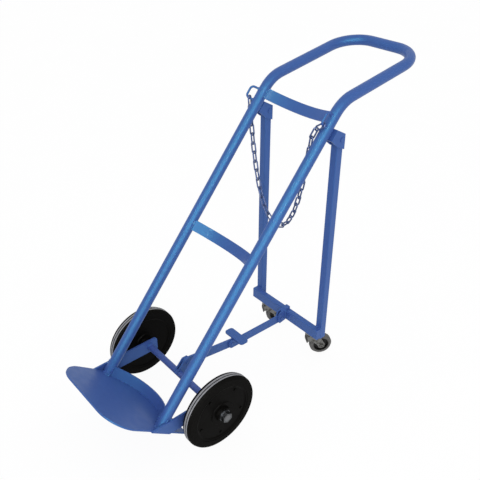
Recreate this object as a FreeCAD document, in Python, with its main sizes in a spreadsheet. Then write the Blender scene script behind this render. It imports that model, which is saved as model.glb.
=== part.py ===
"""Gas cylinder cart: a bent tube frame on two wheels, leaning back on a folding frame with castors.

Frame of the model: +Z up, the floor at Z = 0, the handle towards +Y, the toe plate towards -Y, and the
left side of someone pushing the cart at +X. The origin is below the middle of the cart's box.
The upright frame is drawn as if it stood straight, with U pointing back from the plane of the two tubes
and V up the tubes from the underside of the toe plate, and is then leaned back about the axle.
"""
import FreeCAD, Part
import math
import os
import re
import Sketcher
from FreeCAD import Placement, Rotation, Vector

DIMENSIONS = [
    # main tube frame
    ("tube_diameter", 33.7),
    ("tube_wall", 2.6),
    ("tube_spacing", 292.8),
    ("upright_length", 1079),
    ("handle_length", 367),
    ("handle_angle", 40),
    ("handle_bend_radius", 110),
    ("grip_bend_radius", 95),
    ("lean_angle", 39.7),
    # toe plate and saddles
    ("toe_front", 194),
    ("toe_rear", 105),
    ("toe_thickness", 5),
    ("toe_corner_radius", 84),
    ("saddle_width", 34),
    ("saddle_thickness", 5),
    ("lower_saddle_bow", 78),
    ("middle_saddle_bow", 47),
    ("upper_saddle_bow", 32),
    ("middle_saddle_height", 541),
    ("upper_saddle_drop", 71),
    # axle and its arms
    ("axle_setback", 134),
    ("axle_height", 116),
    ("axle_diameter", 22),
    ("journal_diameter", 20),
    ("arm_height", 48),
    ("arm_raise", 3),
    ("arm_thickness", 6),
    ("arm_tail", 28),
    ("arm_corner_radius", 10),
    # main wheels
    ("wheel_diameter", 250),
    ("tyre_width", 36),
    ("tyre_depth", 26),
    ("tyre_shoulder", 5),
    ("tread_width", 17),
    ("tread_groove_width", 4),
    ("tread_groove_depth", 3),
    ("disc_rim_width", 34),
    ("disc_web", 29),
    ("hub_diameter", 46),
    ("hub_width", 50),
    ("hub_ring_diameter", 76),
    ("wheel_gap", 8),
    ("bush_wall", 4),
    ("rivet_inset", 19),
    ("rivet_diameter", 9),
    ("rivet_height", 2.5),
    ("washer_diameter", 38),
    ("washer_thickness", 3),
    ("axle_nut_size", 30),
    ("axle_nut_height", 14),
    # hinge of the support frame
    ("pivot_setback", 56.5),
    ("pivot_drop", 89),
    ("bracket_top", 13),
    ("bracket_foot", 24),
    ("bracket_front_drop", 22),
    ("bracket_drop", 32),
    ("bracket_thickness", 5),
    ("pivot_diameter", 10),
    ("pin_head_diameter", 15),
    ("pin_head_height", 2),
    ("pivot_bush_wall", 2.5),
    # support frame
    ("leg_spacing", 305),
    ("leg_size", 25),
    ("leg_wall", 2),
    ("leg_corner", 2.5),
    ("leg_above_pivot", 16),
    ("crossbar_height", 40),
    ("crossbar_depth", 20),
    ("crossbar_foot", 106),
    # folding stay
    ("stay_front_y", 34),
    ("stay_front_z", 152),
    ("stay_knee_y", 220.4),
    ("stay_knee_z", 123.5),
    ("stay_rear_z", 117),
    ("stay_rear_gap", 20),
    ("link_height", 32),
    ("link_thickness", 6),
    ("link_gap", 1),
    ("stop_gap", 1),
    ("lug_thickness", 5),
    ("pedal_start", 5),
    ("pedal_length", 90),
    ("pedal_width", 34),
    ("pedal_thickness", 5),
    ("pedal_corner", 10),
    # castors
    ("castor_inset", 37.5),
    ("castor_turn", 30.5),
    ("castor_trail", 33),
    ("castor_diameter", 80),
    ("castor_tyre_width", 24),
    ("castor_tyre_depth", 12),
    ("castor_pin_diameter", 10),
    ("castor_axle_diameter", 8),
    ("castor_plate_size", 55),
    ("castor_plate_inset", 8),
    ("castor_plate_thickness", 5),
    ("castor_head_diameter", 40),
    ("fork_sheet", 3),
    ("fork_clearance", 2.5),
    ("fork_side_gap", 2),
    ("brake_reach", 17),
    ("brake_thickness", 5),
    # chain and its eyes
    ("eye_rod", 7),
    ("eye_reach", 44),
    ("eye_span", 38),
    ("eye_corner", 11),
    ("eye_drop", 69),
    ("chain_wire", 5),
    ("chain_link_inside", 32),
    ("chain_link_gap", 8.6),
    ("chain_slack", 1.6),
    ("chain_drop", 390),
    # fits
    ("running_gap", 0.05),
    ("seat_gap", 0.1),
    ("side_gap", 0.5),
]

doc = FreeCAD.newDocument("GasCylinderCart")
sheet = doc.addObject("Spreadsheet::Sheet", "Sheet")
for row, (alias, value) in enumerate(DIMENSIONS, start=1):
    sheet.set("A%d" % row, alias)
    sheet.set("B%d" % row, str(value))
    sheet.setAlias("B%d" % row, alias)
doc.recompute()

subparts = []


def size(expression):
    """The value of an expression of sheet cells, written with bare cell names."""
    return float(sheet.evalExpression(celled(expression)))


def celled(expression):
    """The same expression with each cell name led by the sheet's name."""
    names = {alias for alias, value in DIMENSIONS}
    return re.sub("[a-z_]+", lambda word: ("Sheet." if word[0] in names else "") + word[0], expression)


def bind(feature, **expressions):
    """Bind properties of a feature to expressions of sheet cells."""
    for name, expression in expressions.items():
        feature.setExpression(name.replace("__", "."), celled(expression))


def keep(feature, label, placement):
    """Name a finished sub-part and put it in its place."""
    feature.Label = label
    feature.Placement = placement
    subparts.append(feature)
    return feature


# Places that many pieces share
LEAN = size("lean_angle")
LEAN_SIN = math.sin(math.radians(LEAN))
LEAN_COS = math.cos(math.radians(LEAN))
TUBE_X = size("tube_spacing / 2")
TUBE_RADIUS = size("tube_diameter / 2")
ARM_INNER_X = TUBE_X + TUBE_RADIUS
AXLE_Z = size("wheel_diameter / 2")
handle_u = size("handle_length * sin( handle_angle )")
handle_v = size("upright_length + handle_length * cos( handle_angle )")
back_most = ((handle_u - size("axle_setback")) * LEAN_COS + (handle_v - size("axle_height")) * LEAN_SIN
             + TUBE_RADIUS)
front_most = -(size("axle_setback + toe_front") * LEAN_COS + size("axle_height") * LEAN_SIN)
AXLE_Y = -(back_most + front_most) / 2
UPRIGHT_TURN = Rotation(Vector(1, 0, 0), -LEAN)
ALONG_X = Rotation(Vector(0, 1, 0), 90)


def upright(x, u, v, turn=Rotation()):
    """A place on the leaning frame."""
    offset = Vector(x, u - size("axle_setback"), v - size("axle_height"))
    return Placement(Vector(0, AXLE_Y, AXLE_Z) + UPRIGHT_TURN.multVec(offset), UPRIGHT_TURN * turn)


def level(x, y, z, turn=Rotation()):
    """A place that stands square to the floor, with Y measured back from the axle."""
    return Placement(Vector(x, AXLE_Y + y, z), turn)


PIVOT = upright(0, size("pivot_setback"), size("upright_length - pivot_drop")).Base
LEG_Y = PIVOT.y - AXLE_Y
LEG_X = size("leg_spacing / 2")
LEG_FRONT = LEG_Y - size("leg_size / 2")
CROSSBAR_FRONT = LEG_FRONT - size("crossbar_depth")
STAY_FRONT = (size("stay_front_y"), size("stay_front_z"))
STAY_KNEE = (size("stay_knee_y"), size("stay_knee_z"))
STAY_REAR = (CROSSBAR_FRONT - size("stay_rear_gap"), size("stay_rear_z"))


# Building blocks
def box(name, length, width, height, x="0", y="0", z="0"):
    feature = doc.addObject("Part::Box", name)
    bind(feature, Length=length, Width=width, Height=height,
         Placement__Base__x=x, Placement__Base__y=y, Placement__Base__z=z)
    return feature


def free_box(name, length, width, height):
    """A box whose place is set afterwards."""
    feature = doc.addObject("Part::Box", name)
    bind(feature, Length=length, Width=width, Height=height)
    return feature


def rod(name, radius, length, x="0", y="0", z="0"):
    """A cylinder along X that starts at the given point."""
    feature = doc.addObject("Part::Cylinder", name)
    feature.Placement = Placement(Vector(), ALONG_X)
    bind(feature, Radius=radius, Height=length,
         Placement__Base__x=x, Placement__Base__y=y, Placement__Base__z=z)
    return feature


def post(name, radius, height, x="0", y="0", z="0"):
    """A cylinder along Z that starts at the given point."""
    feature = doc.addObject("Part::Cylinder", name)
    bind(feature, Radius=radius, Height=height,
         Placement__Base__x=x, Placement__Base__y=y, Placement__Base__z=z)
    return feature


def hexagon(name, across, height, x="0", y="0", z="0"):
    """A hexagonal prism along X, of the given size across its flats."""
    feature = doc.addObject("Part::Prism", name)
    feature.Polygon = 6
    feature.Placement = Placement(Vector(), ALONG_X)
    bind(feature, Circumradius="%s / sqrt( 3 )" % across, Height=height,
         Placement__Base__x=x, Placement__Base__y=y, Placement__Base__z=z)
    return feature


def fuse(name, *shapes):
    feature = doc.addObject("Part::MultiFuse", name)
    feature.Shapes = list(shapes)
    feature.Refine = True
    return feature


def cut(name, base, *tools):
    feature = doc.addObject("Part::Cut", name)
    feature.Base = base
    feature.Tool = tools[0] if len(tools) == 1 else fuse(name + "Tools", *tools)
    feature.Refine = True
    return feature


def group(name, *shapes):
    feature = doc.addObject("Part::Compound", name)
    feature.Links = list(shapes)
    return feature


def origin_of(body, role):
    return next(feature for feature in body.Origin.OriginFeatures if feature.Role == role)


def outline(body, plane, corners, circles=()):
    """A sketch of straight lines through corners, with round holes, all held by sheet cells."""
    sketch = body.newObject("Sketcher::SketchObject", body.Name + "Profile")
    sketch.AttachmentSupport = (origin_of(body, plane), [""])
    sketch.MapMode = "FlatFace"
    points = [Vector(size(across), size(up), 0) for across, up in corners]
    count = len(points)
    for index in range(count):
        sketch.addGeometry(Part.LineSegment(points[index], points[(index + 1) % count]), False)
    for index in range(count):
        sketch.addConstraint(Sketcher.Constraint("Coincident", index, 2, (index + 1) % count, 1))
    for index, corner in enumerate(corners):
        held(sketch, "DistanceX", index, 1, corner[0])
        held(sketch, "DistanceY", index, 1, corner[1])
    for across, up, diameter in circles:
        centre = Vector(size(across), size(up), 0)
        index = sketch.addGeometry(Part.Circle(centre, Vector(0, 0, 1), size(diameter) / 2), False)
        held(sketch, "DistanceX", index, 3, across)
        held(sketch, "DistanceY", index, 3, up)
        place = sketch.addConstraint(Sketcher.Constraint("Diameter", index, size(diameter)))
        sketch.setExpression("Constraints[%d]" % place, celled(diameter))
    return sketch


def held(sketch, kind, index, end, expression):
    """Hold a point of a sketch at a distance from the origin."""
    place = sketch.addConstraint(Sketcher.Constraint(kind, -1, 1, index, end, size(expression)))
    sketch.setExpression("Constraints[%d]" % place, celled(expression))


def padded(name, plane, corners, length, circles=(), both_ways=False):
    """A body made by padding one outline."""
    body = doc.addObject("PartDesign::Body", name)
    pad = body.newObject("PartDesign::Pad", name + "Pad")
    pad.Profile = outline(body, plane, corners, circles)
    pad.Midplane = both_ways
    bind(pad, Length=length)
    doc.recompute()
    return body


def revolved(name, corners):
    """A body turned about its own X axis from an outline of (x, radius) corners."""
    body = doc.addObject("PartDesign::Body", name)
    turn = body.newObject("PartDesign::Revolution", name + "Turn")
    turn.Profile = outline(body, "XY_Plane", corners)
    turn.ReferenceAxis = (origin_of(body, "X_Axis"), [""])
    turn.Angle = 360
    doc.recompute()
    return body


SMALLEST_TURN = 0.01


def rounded(body, radius, chosen):
    """Fillet the edges of a body's last feature that the test picks."""
    base = body.Tip
    names = ["Edge%d" % number for number, edge in enumerate(base.Shape.Edges, start=1) if chosen(edge)]
    fillet = body.newObject("PartDesign::Fillet", body.Name + "Round%d" % len(body.Group))
    fillet.Base = (base, names)
    bind(fillet, Radius=radius)
    doc.recompute()
    return body


def runs_along(edge, axis):
    """Whether a straight edge runs along an axis."""
    if edge.Curve.TypeId != "Part::GeomLine":
        return False
    return edge.Curve.Direction.cross(axis).Length < SMALLEST_TURN


def bent_path(points, radii):
    """A wire through points whose inner corners are rounded by tangent arcs."""
    edges = []
    start = points[0]
    for index, radius in enumerate(radii, start=1):
        corner = points[index]
        back = (points[index - 1] - corner).normalize()
        ahead = (points[index + 1] - corner).normalize()
        half = back.getAngle(ahead) / 2
        reach = radius / math.tan(half)
        middle = (back + ahead).normalize() * (radius / math.sin(half) - radius)
        edges.append(Part.LineSegment(start, corner + back * reach).toShape())
        edges.append(Part.Arc(corner + back * reach, corner + middle, corner + ahead * reach).toShape())
        start = corner + ahead * reach
    edges.append(Part.LineSegment(start, points[-1]).toShape())
    return Part.Wire(edges)


def swept(path, radius):
    """A solid round bar along a wire."""
    start = path.Edges[0]
    ring = Part.Circle(start.valueAt(start.FirstParameter), start.tangentAt(start.FirstParameter), radius)
    return path.makePipeShell([Part.Wire(ring.toShape())], True, False)


def shaped(name, shape):
    """A feature whose shape is made directly, for bars bent in space."""
    feature = doc.addObject("Part::Feature", name)
    feature.Shape = shape
    return feature


# Main frame tube: one pipe from the left foot, over the grip, to the right foot
foot_v = size("toe_thickness")
frame_path = bent_path(
    [Vector(TUBE_X, 0, foot_v), Vector(TUBE_X, 0, size("upright_length")), Vector(TUBE_X, handle_u, handle_v),
     Vector(-TUBE_X, handle_u, handle_v), Vector(-TUBE_X, 0, size("upright_length")),
     Vector(-TUBE_X, 0, foot_v)],
    [size("handle_bend_radius"), size("grip_bend_radius"), size("grip_bend_radius"),
     size("handle_bend_radius")])
pipe = swept(frame_path, TUBE_RADIUS).cut(swept(frame_path, TUBE_RADIUS - size("tube_wall")))
keep(shaped("MainFrameTube", pipe), "main_frame_tube", upright(0, 0, 0))

# Toe plate: flat plate under both tubes, as wide as the tubes' outer sides
half_toe = "( tube_spacing + tube_diameter ) / 2"
toe = padded("ToePlate", "XY_Plane",
             [("-" + half_toe, "-toe_front"), (half_toe, "-toe_front"), (half_toe, "toe_rear"),
              ("-" + half_toe, "toe_rear")], "toe_thickness")
front_line = size("-toe_front")
rounded(toe, "toe_corner_radius",
        lambda edge: runs_along(edge, Vector(0, 0, 1)) and abs(edge.Vertexes[0].Y - front_line) < 1)
keep(toe, "toe_plate", upright(0, 0, 0))

# Saddles: flat bars rolled to an arc, welded between the tubes
half_chord = "( tube_spacing - tube_diameter ) / 2"


def saddle(label, bow, height):
    name = label.title().replace("_", "")
    radius = "( ( %s ) ^ 2 + %s ^ 2 ) / ( 2 * %s )" % (half_chord, bow, bow)
    outside = post(name + "Outside", "%s + saddle_thickness / 2" % radius, "saddle_width")
    inside = post(name + "Inside", "%s - saddle_thickness / 2" % radius, "saddle_width")
    span = box(name + "Span", "2 * %s" % half_chord, "%s + saddle_thickness" % radius, "saddle_width",
               x="-1 * %s" % half_chord)
    ring = cut(name + "Ring", outside, inside)
    bar = doc.addObject("Part::Common", name)
    bar.Base = ring
    bar.Tool = span
    keep(bar, label, upright(0, size(bow) - size(radius), size(height)))


saddle("lower_saddle", "lower_saddle_bow", "toe_thickness")
saddle("middle_saddle", "middle_saddle_bow", "middle_saddle_height")
saddle("upper_saddle", "upper_saddle_bow", "upright_length - upper_saddle_drop")

# Axle arms: flat bars beside the tubes, level when the cart leans, cut off along the toe plate's underside
arm_top = "( arm_raise + arm_height / 2 )"
arm_foot = "( arm_raise - arm_height / 2 )"
cut_line = "( 0 - axle_height - %s * cos( lean_angle ) ) / sin( lean_angle )"
for side, x in (("left", ARM_INNER_X), ("right", -ARM_INNER_X - size("arm_thickness"))):
    arm = padded(side.title() + "AxleArm", "YZ_Plane",
                 [(cut_line % arm_foot, arm_foot), ("arm_tail", arm_foot), ("arm_tail", arm_top),
                  (cut_line % arm_top, arm_top)],
                 "arm_thickness", [("0", "0", "axle_diameter + 2 * seat_gap")])
    rounded(arm, "arm_corner_radius",
            lambda edge: runs_along(edge, Vector(1, 0, 0)) and edge.Vertexes[0].Y > size("arm_tail") - 1
            and edge.Vertexes[0].Z > 0)
    keep(arm, side + "_axle_arm", level(x, 0, AXLE_Z))

# Axle: round bar through both arms, turned down where the wheels run
shoulder = "( tube_spacing / 2 + tube_diameter / 2 + arm_thickness + wheel_gap )"
journal_end = "( %s + washer_thickness + hub_width + washer_thickness + axle_nut_height )" % shoulder
axle = fuse("Axle",
            rod("AxleBar", "axle_diameter / 2", "2 * %s" % shoulder, x="-1 * %s" % shoulder),
            rod("AxleJournals", "journal_diameter / 2", "2 * %s" % journal_end, x="-1 * %s" % journal_end))
keep(axle, "axle", level(0, 0, AXLE_Z))
SHOULDER_X = size(shoulder)
HUB_X = SHOULDER_X + size("washer_thickness + hub_width / 2")

# Washers on both sides of each hub, and the axle nuts
ring_bore = "journal_diameter / 2 + seat_gap"


def washer(name, x):
    ring = rod(name + "Disc", "washer_diameter / 2", "washer_thickness", x=x)
    return cut(name, ring, rod(name + "Bore", ring_bore, "washer_thickness", x=x))


def axle_nut(name, x):
    nut = hexagon(name + "Hex", "axle_nut_size", "axle_nut_height", x=x)
    return cut(name, nut, rod(name + "Bore", ring_bore, "axle_nut_height", x=x))


outer_washer = "( %s + washer_thickness + hub_width )" % shoulder
nut_seat = "( %s + washer_thickness )" % outer_washer
keep(group("AxleWashers", washer("WasherA", shoulder), washer("WasherB", outer_washer),
           washer("WasherC", "-1 * %s - washer_thickness" % shoulder),
           washer("WasherD", "-1 * %s - washer_thickness" % outer_washer)),
     "axle_washers", level(0, 0, AXLE_Z))
keep(group("AxleNuts", axle_nut("NutA", nut_seat), axle_nut("NutB", "-1 * %s - axle_nut_height" % nut_seat)),
     "axle_nuts", level(0, 0, AXLE_Z))

# Main wheels: moulded disc with a hub, hub bush, crowned tyre with two ribs, and rivets in the disc
bush_bore = "( journal_diameter / 2 + running_gap )"
bush_outer = "( %s + bush_wall )" % bush_bore
disc_radius = "( wheel_diameter / 2 - tyre_depth )"
disc_corners = [
    ("-1 * hub_width / 2", bush_outer), ("hub_width / 2", bush_outer),
    ("hub_width / 2", "hub_diameter / 2"), ("disc_rim_width / 2", "hub_diameter / 2 + tyre_shoulder / 2"),
    ("disc_rim_width / 2", "hub_ring_diameter / 2"),
    ("disc_web / 2", "hub_ring_diameter / 2 + tyre_shoulder / 2"),
    ("disc_web / 2", "%s - 2 * tyre_shoulder" % disc_radius),
    ("disc_rim_width / 2", "%s - tyre_shoulder" % disc_radius), ("disc_rim_width / 2", disc_radius),
]
disc_corners += [("-1 * %s" % across, up) for across, up in reversed(disc_corners[2:])]
tread = "wheel_diameter / 2"
tyre_half = [
    ("tyre_width / 2", disc_radius), ("tyre_width / 2", "wheel_diameter / 2 - 3 * tyre_shoulder / 2"),
    ("tread_width / 6 + tyre_width / 3", "wheel_diameter / 2 - tyre_shoulder / 2"),
    ("tread_width / 2", tread), ("tread_groove_width / 2", tread),
    ("tread_groove_width / 2", "wheel_diameter / 2 - tread_groove_depth"),
]
tyre_corners = tyre_half + [("-1 * ( %s )" % across, up) for across, up in reversed(tyre_half)]
RIVET_COUNT = 5
RIVET_START = -94
for side, sign in (("left", 1), ("right", -1)):
    name = side.title()
    hub_place = level(sign * HUB_X, 0, AXLE_Z)
    keep(revolved(name + "WheelDisc", disc_corners), side + "_wheel_disc", hub_place)
    keep(revolved(name + "Tyre", tyre_corners), side + "_tyre", hub_place)
    bush = cut(name + "HubBush", rod(name + "BushBody", bush_outer, "hub_width", x="-1 * hub_width / 2"),
               rod(name + "BushBore", bush_bore, "hub_width", x="-1 * hub_width / 2"))
    keep(bush, side + "_hub_bush", hub_place)
    rivets = []
    for index in range(RIVET_COUNT):
        angle = RIVET_START + 360 * index / RIVET_COUNT
        rivet = rod("%sRivet%d" % (name, index), "rivet_diameter / 2", "rivet_height", x="disc_web / 2",
                    y="( %s - rivet_inset ) * cos( %f )" % (disc_radius, angle),
                    z="( %s - rivet_inset ) * sin( %f )" % (disc_radius, angle))
        rivets.append(rivet)
    turn = Rotation() if sign > 0 else Rotation(Vector(0, 0, 1), 180)
    keep(group(name + "Rivets", *rivets), side + "_wheel_rivets", level(sign * HUB_X, 0, AXLE_Z, turn))

# Hinge brackets: two cheeks around each leg, joined by a web behind the tube, flush with the leg's back
bracket_half = "( leg_size / 2 + side_gap + bracket_thickness )"
web_front = "( tube_diameter / 2 + seat_gap - pivot_setback )"
cheek_corners = [
    ("leg_size / 2", "leg_above_pivot - side_gap"),
    ("%s * cos( lean_angle ) + bracket_top * sin( lean_angle )" % web_front,
     "bracket_top * cos( lean_angle ) - %s * sin( lean_angle )" % web_front),
    ("%s * cos( lean_angle ) - bracket_foot * sin( lean_angle )" % web_front,
     "0 - bracket_foot * cos( lean_angle ) - %s * sin( lean_angle )" % web_front),
    ("-1 * leg_size / 2", "-1 * bracket_front_drop"),
    ("leg_size / 2", "-1 * bracket_drop"),
]
for side, sign in (("left", 1), ("right", -1)):
    name = side.title() + "HingeBracket"
    block = padded(name + "Cheeks", "YZ_Plane", cheek_corners, "2 * %s" % bracket_half, both_ways=True)
    slot = free_box(name + "Slot", "leg_size + 2 * side_gap", "leg_size * 4", "leg_size * 4")
    slot_corner = Vector(-size("leg_size / 2 + side_gap"), size("%s + bracket_thickness" % web_front),
                         -size("leg_size * 2"))
    slot.Placement = Placement(UPRIGHT_TURN.multVec(slot_corner), UPRIGHT_TURN)
    hole = rod(name + "Hole", "pivot_diameter / 2 + seat_gap", "2 * %s" % bracket_half,
               x="-1 * %s" % bracket_half)
    keep(cut(name, block, slot, hole), side + "_hinge_bracket", level(sign * LEG_X, LEG_Y, PIVOT.z))


def pivot_pin(name, start, grip):
    """A pin along X with a low riveted head at each end of its grip."""
    return fuse(name, rod(name + "Shank", "pivot_diameter / 2", grip, x=start),
                rod(name + "NearHead", "pin_head_diameter / 2", "pin_head_height",
                    x="%s - pin_head_height" % start),
                rod(name + "FarHead", "pin_head_diameter / 2", "pin_head_height",
                    x="%s + %s" % (start, grip)))


# Hinge pins of the support frame, riveted against both cheeks of each bracket
for side, sign in (("left", 1), ("right", -1)):
    pin = pivot_pin(side.title() + "HingePin", "-1 * %s" % bracket_half, "2 * %s" % bracket_half)
    keep(pin, side + "_hinge_pin", level(sign * LEG_X, LEG_Y, PIVOT.z))

# Support legs: square tubes that hang from the pivots, with a bush through each for its pin
LEG_FOOT = size("crossbar_foot - castor_plate_thickness")
leg_length = PIVOT.z + size("leg_above_pivot") - LEG_FOOT
bush_hole = "( pivot_diameter / 2 + running_gap + pivot_bush_wall )"


def square_tube(name, width, depth, length):
    """A tube along Z with rounded outer edges, centred on its axis and open at both ends."""
    half_width, half_depth = "( %s ) / 2" % width, "( %s ) / 2" % depth
    body = padded(name, "XY_Plane",
                  [("-1 * " + half_width, "-1 * " + half_depth), (half_width, "-1 * " + half_depth),
                   (half_width, half_depth), ("-1 * " + half_width, half_depth)], length)
    rounded(body, "leg_corner", lambda edge: runs_along(edge, Vector(0, 0, 1)))
    inner_width, inner_depth = "%s - leg_wall" % half_width, "%s - leg_wall" % half_depth
    pocket = body.newObject("PartDesign::Pocket", name + "Hollow")
    pocket.Profile = outline(body, "XY_Plane",
                             [("0 - ( %s )" % inner_width, "0 - ( %s )" % inner_depth),
                              (inner_width, "0 - ( %s )" % inner_depth), (inner_width, inner_depth),
                              ("0 - ( %s )" % inner_width, inner_depth)])
    pocket.Type = "ThroughAll"
    pocket.Reversed = True
    doc.recompute()
    return body


pivot_above_foot = PIVOT.z - LEG_FOOT
for side, sign in (("left", 1), ("right", -1)):
    name = side.title() + "Leg"
    tube = square_tube(name + "Tube", "leg_size", "leg_size", "%f" % leg_length)
    hole = rod(name + "Hole", bush_hole + " + seat_gap", "leg_size", x="-1 * leg_size / 2",
               z="%f" % pivot_above_foot)
    keep(cut(name, tube, hole), side + "_leg", level(sign * LEG_X, LEG_Y, LEG_FOOT))
    bush = cut(name + "Bush", rod(name + "BushBody", bush_hole, "leg_size", x="-1 * leg_size / 2"),
               rod(name + "BushBore", "pivot_diameter / 2 + running_gap", "leg_size", x="-1 * leg_size / 2"))
    keep(bush, side + "_pivot_bush", level(sign * LEG_X, LEG_Y, PIVOT.z))

# Crossbar: rectangular tube across the front of the legs, flush with their outer sides, with closed ends
bar_half = "( ( leg_spacing + leg_size ) / 2 )"
bar = square_tube("Crossbar", "crossbar_height", "crossbar_depth", "2 * %s" % bar_half)
keep(bar, "crossbar", level(-size(bar_half), CROSSBAR_FRONT + size("crossbar_depth / 2"),
                            size("crossbar_foot + crossbar_height / 2"), ALONG_X))
cap_inset = "( leg_wall + seat_gap )"
cap_size = ["leg_wall", "crossbar_depth - 2 * %s" % cap_inset, "crossbar_height - 2 * %s" % cap_inset]
caps = group("CrossbarCaps", box("LeftCap", *cap_size, x="%s - leg_wall" % bar_half),
             box("RightCap", *cap_size, x="-1 * %s" % bar_half))
keep(caps, "crossbar_caps",
     level(0, CROSSBAR_FRONT + size(cap_inset), size("crossbar_foot + %s" % cap_inset)))

# Folding stay: front link from the axle to the knee, rear link from the knee to the crossbar
FRONT_SPAN = math.dist(STAY_FRONT, STAY_KNEE)
REAR_SPAN = math.dist(STAY_KNEE, STAY_REAR)
FRONT_TILT = math.degrees(math.atan2(STAY_KNEE[1] - STAY_FRONT[1], STAY_KNEE[0] - STAY_FRONT[0]))
REAR_TILT = math.degrees(math.atan2(STAY_KNEE[1] - STAY_REAR[1], STAY_KNEE[0] - STAY_REAR[0]))
front_turn = Rotation(Vector(1, 0, 0), FRONT_TILT)
rear_turn = Rotation(Vector(1, 0, 0), REAR_TILT)
front_place = level(-size("link_gap / 2 + link_thickness"), STAY_FRONT[0], STAY_FRONT[1], front_turn)
rear_place = level(size("link_gap / 2"), STAY_REAR[0], STAY_REAR[1], rear_turn)


def link(name, span, height, *tails):
    """A flat bar along Y with round ends and a pivot hole at each end, from its first pivot."""
    length = "%f" % span
    half = "( %s ) / 2" % height
    bar = fuse(name + "Bar", box(name + "Flat", "link_thickness", length, height, z="-1 * %s" % half),
               rod(name + "Near", half, "link_thickness"),
               rod(name + "Far", half, "link_thickness", y=length), *tails)
    return cut(name, bar, rod(name + "NearHole", "pivot_diameter / 2 + running_gap", "link_thickness"),
               rod(name + "FarHole", "pivot_diameter / 2 + running_gap", "link_thickness", y=length))


knee_bend = math.degrees(math.atan2(STAY_REAR[1] - STAY_KNEE[1], STAY_REAR[0] - STAY_KNEE[0])) - FRONT_TILT
tail_place = Placement(Vector(0, FRONT_SPAN, 0), Rotation(Vector(1, 0, 0), knee_bend))
tail = free_box("FrontLinkTail", "link_thickness", "pedal_start + pedal_width", "link_height")
tail.Placement = tail_place * Placement(Vector(0, 0, -size("link_height / 2")), Rotation())
keep(link("FrontLink", FRONT_SPAN, "link_height", tail), "front_link", front_place)
keep(link("RearLink", REAR_SPAN, "link_height - 2 * stop_gap"), "rear_link", rear_place)

# Foot pedal: plate welded across the front link's tail, just past the knee, close over the rear link
pedal = padded("FootPedal", "XY_Plane",
               [("-1 * pedal_length / 2", "0"), ("pedal_length / 2", "0"),
                ("pedal_length / 2", "pedal_width"), ("-1 * pedal_length / 2", "pedal_width")],
               "pedal_thickness")
rounded(pedal, "pedal_corner", lambda edge: runs_along(edge, Vector(0, 0, 1)))
pedal_place = Placement(Vector(size("link_gap / 2 + link_thickness"), size("pedal_start"),
                               size("link_height / 2")), Rotation())
keep(pedal, "foot_pedal", front_place * tail_place * pedal_place)

# Knee pin: its two ends, one in each link, meet between the links without touching
front_end = fuse("KneePinFront",
                 rod("KneeFrontHead", "pin_head_diameter / 2", "pin_head_height", x="-1 * pin_head_height"),
                 rod("KneeFrontShank", "pivot_diameter / 2", "link_thickness + link_gap / 4"))
keep(front_end, "knee_pin_front", front_place * Placement(Vector(0, FRONT_SPAN, 0), Rotation()))
rear_end = fuse("KneePinRear",
                rod("KneeRearHead", "pin_head_diameter / 2", "pin_head_height", x="link_thickness"),
                rod("KneeRearShank", "pivot_diameter / 2", "link_thickness + link_gap / 4",
                    x="-1 * link_gap / 4"))
keep(rear_end, "knee_pin_rear", rear_place * Placement(Vector(0, REAR_SPAN, 0), Rotation()))

# Front lug of the stay: two cheeks notched over the axle, around the end of the front link
lug_inner = "( link_thickness + 2 * side_gap )"
lug_outer = "( link_thickness + 2 * side_gap + 2 * lug_thickness )"
axle_back = "0 - stay_front_y"
axle_down = "wheel_diameter / 2 - stay_front_z"
front_corners = [
    (axle_back, axle_down),
    ("%s + axle_diameter * 0.63" % axle_back, "%s - axle_diameter * 0.35" % axle_down),
    ("link_height / 4", "0 - link_height / 2"), ("link_height / 2", "0"),
    ("link_height / 4", "link_height / 2"), ("0 - link_height / 3", "link_height / 2"),
    ("%s - axle_diameter * 0.6" % axle_back, "%s + axle_diameter / 6" % axle_down),
]
cheeks = []
for name, start in (("FrontLugNear", "0"), ("FrontLugFar", lug_inner + " + lug_thickness")):
    plate = padded(name + "Plate", "YZ_Plane", front_corners, "lug_thickness",
                   [("0", "0", "pivot_diameter + 2 * seat_gap")])
    plate.Placement = Placement(Vector(size(start), 0, 0), Rotation())
    cheeks.append(cut(name, plate, rod(name + "Notch", "axle_diameter / 2 + seat_gap", "lug_thickness",
                                       x=start, y=axle_back, z=axle_down)))
front_lug_x = -size("link_gap / 2 + link_thickness + side_gap + lug_thickness")
keep(group("FrontLug", *cheeks), "stay_front_lug",
     level(front_lug_x, STAY_FRONT[0], STAY_FRONT[1]))

# Rear lug of the stay: a block hooked over the crossbar, slotted for the end of the rear link
lug_rise = "( crossbar_foot + crossbar_height - stay_rear_z )"
rear_corners = [
    ("stay_rear_gap", "0 - link_height / 3"), ("stay_rear_gap", lug_rise),
    ("stay_rear_gap + crossbar_depth", lug_rise),
    ("stay_rear_gap + crossbar_depth", "%s + link_height / 4" % lug_rise),
    ("stay_rear_gap", "%s + link_height / 4" % lug_rise), ("0 - link_height / 4", lug_rise),
    ("0 - link_height / 2", "link_height / 4"), ("0 - link_height / 2", "0 - link_height / 4"),
    ("0 - link_height / 4", "0 - link_height / 2"),
]
rear_block = padded("RearLugBlock", "YZ_Plane", rear_corners, lug_outer,
                    [("0", "0", "pivot_diameter + 2 * seat_gap")])
link_slot = box("RearLugSlot", lug_inner, "link_height * 1.1", "link_height * 3", x="lug_thickness",
                y="0 - link_height", z="0 - link_height")
slot_end = rod("RearLugSlotEnd", "link_height / 2 + side_gap", lug_inner, x="lug_thickness")
rear_lug_x = size("link_gap / 2 - side_gap - lug_thickness")
keep(cut("RearLug", rear_block, link_slot, slot_end), "stay_rear_lug",
     level(rear_lug_x, STAY_REAR[0], STAY_REAR[1]))
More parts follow.
